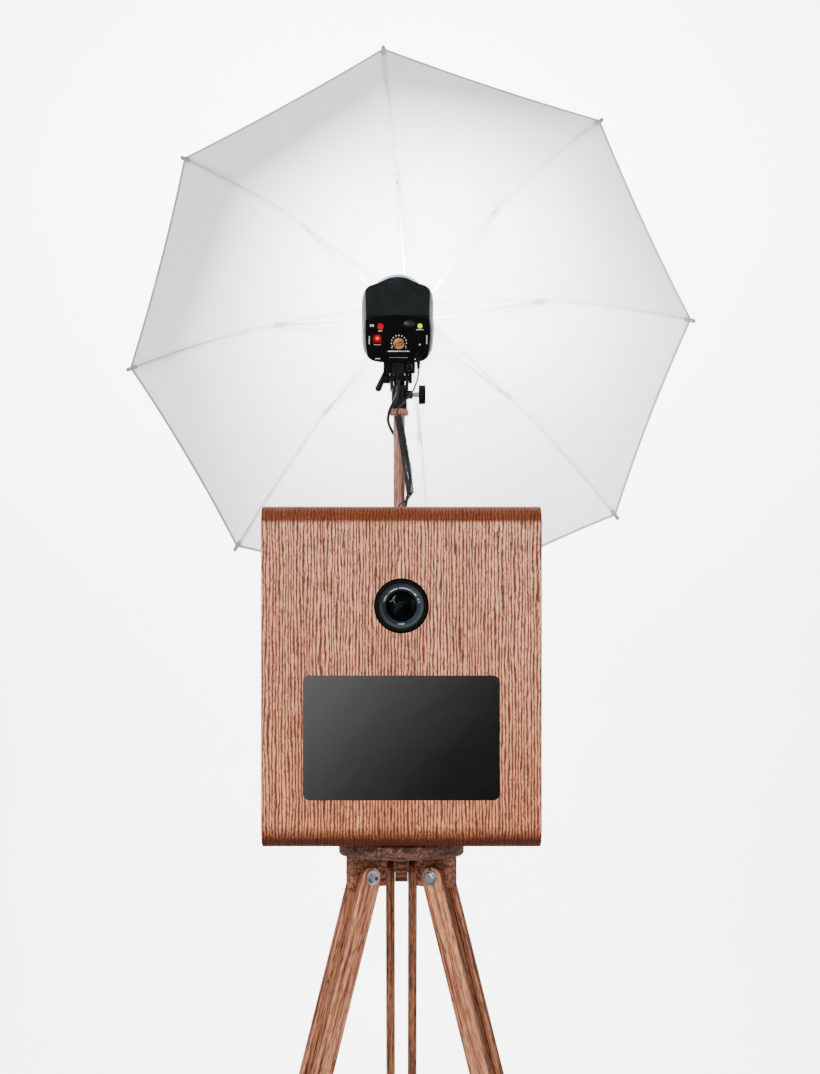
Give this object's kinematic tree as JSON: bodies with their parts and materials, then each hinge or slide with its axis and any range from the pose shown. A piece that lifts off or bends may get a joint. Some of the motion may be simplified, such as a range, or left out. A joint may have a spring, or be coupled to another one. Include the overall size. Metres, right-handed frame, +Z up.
{
  "type": "photo booth",
  "caption": "Plywood photo booth case with camera and touch screen on a wooden tripod, with a mast, studio flash lamp and white shoot-through umbrella.",
  "frame": {"origin": "on the floor, on the tripod's upright axis", "axes": "+Z up, the case's front faces -Y, +X to the right seen from the front"},
  "size_m": [0.8096, 0.5648, 2.1341],
  "materials": {
    "case_ply": "clear matt varnish, fine upright grain",
    "tripod_wood": "dark oiled oak",
    "leg_wood": "brown stained wood, satin",
    "mast_wood": "oiled beech",
    "door_ply": "clear matt varnish",
    "bright_steel": "zinc plated",
    "rib_steel": "off-white enamel",
    "shaft_steel": "grey enamel",
    "cast_black": "black powder coat",
    "black_plastic": "fine moulded texture",
    "gloss_panel": "glossy black overlay",
    "grey_shell": "dark silver-grey moulding",
    "black_rubber": "ribbed",
    "cord_black": "satin cable jacket",
    "white_cloth": "translucent white nylon",
    "screen_glass": "gloss cover glass",
    "lens_glass": "coated lens",
    "lens_black": "satin black",
    "reflector_metal": "pebbled",
    "tube_glass": "clear",
    "red_plastic": "gloss",
    "red_lit": "lit red",
    "copper_knob": "copper coloured",
    "green_light": "lit yellow-green"
  },
  "bodies": {
    "tripod": {"tripod_head": "tripod_wood", "leg_blocks": "tripod_wood", "leg_bolts": "bright_steel"},
    "centre_screw": {"centre_screw": "black_plastic"},
    "leg_left": {"leg_left": "leg_wood"},
    "leg_right": {"leg_right": "leg_wood"},
    "leg_rear": {"leg_rear": "leg_wood"},
    "case": {"front_shell": "case_ply", "side_panels": "case_ply", "door_pins": "bright_steel", "lens_bezel": "black_plastic", "lens_barrel": "lens_black", "lens_glass": "lens_glass", "camera_body": "black_plastic", "camera_shelf": "door_ply", "touch_screen": "screen_glass", "mast_socket": "cast_black", "cable_gland": "black_rubber", "mast": "mast_wood", "curly_cord": "cord_black"},
    "zoom_ring": {"zoom_ring": "black_rubber"},
    "rear_door": {"rear_door": "door_ply", "door_knob": "leg_wood"},
    "lamp_stand": {"lamp_socket": "cast_black", "power_lead": "cord_black", "sync_lead": "cord_black"},
    "clamp_knob": {"clamp_knob": "black_plastic"},
    "lamp": {"lamp_foot": "cast_black", "lamp_shell": "grey_shell", "rear_cover": "black_plastic", "control_panel": "gloss_panel", "reflector": "reflector_metal", "flash_tube": "tube_glass", "ready_light": "green_light", "power_plug": "black_rubber", "sync_plug": "black_plastic"},
    "tilt_lever": {"tilt_lever": "black_plastic"},
    "umbrella_screw": {"umbrella_screw": "black_plastic"},
    "power_dial": {"power_dial": "copper_knob"},
    "test_button": {"test_button": "red_plastic"},
    "power_switch": {"power_switch": "red_lit"},
    "umbrella": {"umbrella_shaft": "shaft_steel", "canopy": "white_cloth"},
    "runner": {"runner": "black_plastic"},
    "rib_1": {"rib_1": "rib_steel"},
    "stretcher_1": {"stretcher_1": "rib_steel"},
    "rib_2": {"rib_2": "rib_steel"},
    "stretcher_2": {"stretcher_2": "rib_steel"},
    "rib_3": {"rib_3": "rib_steel"},
    "stretcher_3": {"stretcher_3": "rib_steel"},
    "rib_4": {"rib_4": "rib_steel"},
    "stretcher_4": {"stretcher_4": "rib_steel"},
    "rib_5": {"rib_5": "rib_steel"},
    "stretcher_5": {"stretcher_5": "rib_steel"},
    "rib_6": {"rib_6": "rib_steel"},
    "stretcher_6": {"stretcher_6": "rib_steel"},
    "rib_7": {"rib_7": "rib_steel"},
    "stretcher_7": {"stretcher_7": "rib_steel"},
    "rib_8": {"rib_8": "rib_steel"},
    "stretcher_8": {"stretcher_8": "rib_steel"}
  },
  "joints": [
    {"name": "leg_left_fold", "type": "hinge", "parent": "tripod", "child": "leg_left", "pos_m": [-0.05023, -0.029, 1.014], "axis": [0.5, -0.866, 0], "range_deg": [0, 16]},
    {"name": "leg_right_fold", "type": "hinge", "parent": "tripod", "child": "leg_right", "pos_m": [0.05023, -0.029, 1.014], "axis": [0.5, 0.866, 0], "range_deg": [0, 16]},
    {"name": "leg_rear_fold", "type": "hinge", "parent": "tripod", "child": "leg_rear", "pos_m": [0, 0.058, 1.014], "axis": [-1, 0, 0], "range_deg": [0, 16]},
    {"name": "centre_screw_turn", "type": "hinge", "parent": "tripod", "child": "centre_screw", "pos_m": [0, 0, 1.02], "axis": [0, 0, 1], "continuous": true},
    {"name": "case_pan", "type": "hinge", "parent": "tripod", "child": "case", "pos_m": [0, 0, 1.06], "axis": [0, 0, 1], "continuous": true},
    {"name": "zoom_ring_turn", "type": "hinge", "parent": "case", "child": "zoom_ring", "pos_m": [0, -0.07, 1.3828], "axis": [0, 1, 0], "range_deg": [0, 60]},
    {"name": "rear_door_swing", "type": "hinge", "parent": "case", "child": "rear_door", "pos_m": [-0.171, 0.105, 1.2], "axis": [0, 0, 1], "range_deg": [0, 95]},
    {"name": "lamp_swivel", "type": "hinge", "parent": "case", "child": "lamp_stand", "pos_m": [-0.003, 0, 1.67], "axis": [0, 0, 1], "range_deg": [-45, 45], "deforming": ["curly_cord"]},
    {"name": "clamp_knob_turn", "type": "hinge", "parent": "lamp_stand", "child": "clamp_knob", "pos_m": [0.02, 0, 1.6804], "axis": [1, 0, 0], "continuous": true},
    {"name": "lamp_tilt", "type": "hinge", "parent": "lamp_stand", "child": "lamp", "pos_m": [-0.003, 0, 1.703], "axis": [1, 0, 0], "range_deg": [-3, 35], "deforming": ["sync_lead", "power_lead"]},
    {"name": "tilt_lever_turn", "type": "hinge", "parent": "lamp_stand", "child": "tilt_lever", "pos_m": [-0.003, 0, 1.703], "axis": [1, 0, 0], "range_deg": [-30, 60]},
    {"name": "umbrella_slide", "type": "slide", "parent": "lamp", "child": "umbrella", "axis": [0, 0.91, 0.4147], "range_m": [0, 0.035]},
    {"name": "umbrella_screw_turn", "type": "hinge", "parent": "lamp", "child": "umbrella_screw", "pos_m": [0.011, 0.01348, 1.71683], "axis": [0, -0.4147, 0.91], "continuous": true},
    {"name": "power_dial_turn", "type": "hinge", "parent": "lamp", "child": "power_dial", "pos_m": [-0.0034, -0.06107, 1.74056], "axis": [0, 0.91, 0.4147], "range_deg": [-135, 135]},
    {"name": "test_button_press", "type": "slide", "parent": "lamp", "child": "test_button", "axis": [0, 0.91, 0.4147], "range_m": [0, 0.0015], "stiffness_N_per_m": 400, "springref_m": -0.001},
    {"name": "power_switch_rock", "type": "hinge", "parent": "lamp", "child": "power_switch", "pos_m": [-0.0328, -0.05678, 1.74801], "axis": [-1, 0, 0], "range_deg": [0, 12]},
    {"name": "runner_slide", "type": "slide", "parent": "umbrella", "child": "runner", "axis": [0, -0.91, -0.4147], "range_m": [0, 0.08886], "deforming": ["canopy"]},
    {"name": "rib_1_fold", "type": "hinge", "parent": "umbrella", "child": "rib_1", "pos_m": [0.01022, 0.2966, 1.87297], "axis": [0.9962, -0.0361, 0.0793], "range_deg": [0, 14.05]},
    {"name": "stretcher_1_fold", "type": "hinge", "parent": "runner", "child": "stretcher_1", "pos_m": [0.01022, 0.20653, 1.83192], "axis": [-0.9962, 0.0361, -0.0793], "range_deg": [0, 12.83]},
    {"name": "rib_2_fold", "type": "hinge", "parent": "umbrella", "child": "rib_2", "pos_m": [0.01679, 0.29746, 1.87108], "axis": [0.766, 0.2666, -0.5849], "range_deg": [0, 14.05]},
    {"name": "stretcher_2_fold", "type": "hinge", "parent": "runner", "child": "stretcher_2", "pos_m": [0.01679, 0.20739, 1.83004], "axis": [-0.766, -0.2666, 0.5849], "range_deg": [0, 12.83]},
    {"name": "rib_3_fold", "type": "hinge", "parent": "umbrella", "child": "rib_3", "pos_m": [0.01997, 0.3, 1.86552], "axis": [0.0872, 0.4131, -0.9065], "range_deg": [0, 14.05]},
    {"name": "stretcher_3_fold", "type": "hinge", "parent": "runner", "child": "stretcher_3", "pos_m": [0.01997, 0.20993, 1.82448], "axis": [-0.0872, -0.4131, 0.9065], "range_deg": [0, 12.83]},
    {"name": "rib_4_fold", "type": "hinge", "parent": "umbrella", "child": "rib_4", "pos_m": [0.01789, 0.30272, 1.85955], "axis": [-0.6428, 0.3177, -0.6971], "range_deg": [0, 14.05]},
    {"name": "stretcher_4_fold", "type": "hinge", "parent": "runner", "child": "stretcher_4", "pos_m": [0.01789, 0.21265, 1.8185], "axis": [0.6428, -0.3177, 0.6971], "range_deg": [0, 12.83]},
    {"name": "rib_5_fold", "type": "hinge", "parent": "umbrella", "child": "rib_5", "pos_m": [0.01178, 0.30404, 1.85665], "axis": [-0.9962, 0.0361, -0.0793], "range_deg": [0, 14.05]},
    {"name": "stretcher_5_fold", "type": "hinge", "parent": "runner", "child": "stretcher_5", "pos_m": [0.01178, 0.21397, 1.8156], "axis": [0.9962, -0.0361, 0.0793], "range_deg": [0, 12.83]},
    {"name": "rib_6_fold", "type": "hinge", "parent": "umbrella", "child": "rib_6", "pos_m": [0.00521, 0.30318, 1.85854], "axis": [-0.766, -0.2666, 0.5849], "range_deg": [0, 14.05]},
    {"name": "stretcher_6_fold", "type": "hinge", "parent": "runner", "child": "stretcher_6", "pos_m": [0.00521, 0.21311, 1.81749], "axis": [0.766, 0.2666, -0.5849], "range_deg": [0, 12.83]},
    {"name": "rib_7_fold", "type": "hinge", "parent": "umbrella", "child": "rib_7", "pos_m": [0.00203, 0.30065, 1.8641], "axis": [-0.0872, -0.4131, 0.9065], "range_deg": [0, 14.05]},
    {"name": "stretcher_7_fold", "type": "hinge", "parent": "runner", "child": "stretcher_7", "pos_m": [0.00203, 0.21058, 1.82305], "axis": [0.0872, 0.4131, -0.9065], "range_deg": [0, 12.83]},
    {"name": "rib_8_fold", "type": "hinge", "parent": "umbrella", "child": "rib_8", "pos_m": [0.00411, 0.29792, 1.87007], "axis": [0.6428, -0.3177, 0.6971], "range_deg": [0, 14.05]},
    {"name": "stretcher_8_fold", "type": "hinge", "parent": "runner", "child": "stretcher_8", "pos_m": [0.00411, 0.20785, 1.82903], "axis": [-0.6428, 0.3177, -0.6971], "range_deg": [0, 12.83]}
  ],
  "couplings": [
    {"joint": "rib_1_fold", "follows": "runner_slide", "rad_per_m": 2.7497},
    {"joint": "stretcher_1_fold", "follows": "runner_slide", "rad_per_m": 2.51},
    {"joint": "rib_2_fold", "follows": "runner_slide", "rad_per_m": 2.7497},
    {"joint": "stretcher_2_fold", "follows": "runner_slide", "rad_per_m": 2.51},
    {"joint": "rib_3_fold", "follows": "runner_slide", "rad_per_m": 2.7497},
    {"joint": "stretcher_3_fold", "follows": "runner_slide", "rad_per_m": 2.51},
    {"joint": "rib_4_fold", "follows": "runner_slide", "rad_per_m": 2.7497},
    {"joint": "stretcher_4_fold", "follows": "runner_slide", "rad_per_m": 2.51},
    {"joint": "rib_5_fold", "follows": "runner_slide", "rad_per_m": 2.7497},
    {"joint": "stretcher_5_fold", "follows": "runner_slide", "rad_per_m": 2.51},
    {"joint": "rib_6_fold", "follows": "runner_slide", "rad_per_m": 2.7497},
    {"joint": "stretcher_6_fold", "follows": "runner_slide", "rad_per_m": 2.51},
    {"joint": "rib_7_fold", "follows": "runner_slide", "rad_per_m": 2.7497},
    {"joint": "stretcher_7_fold", "follows": "runner_slide", "rad_per_m": 2.51},
    {"joint": "rib_8_fold", "follows": "runner_slide", "rad_per_m": 2.7497},
    {"joint": "stretcher_8_fold", "follows": "runner_slide", "rad_per_m": 2.51}
  ]
}
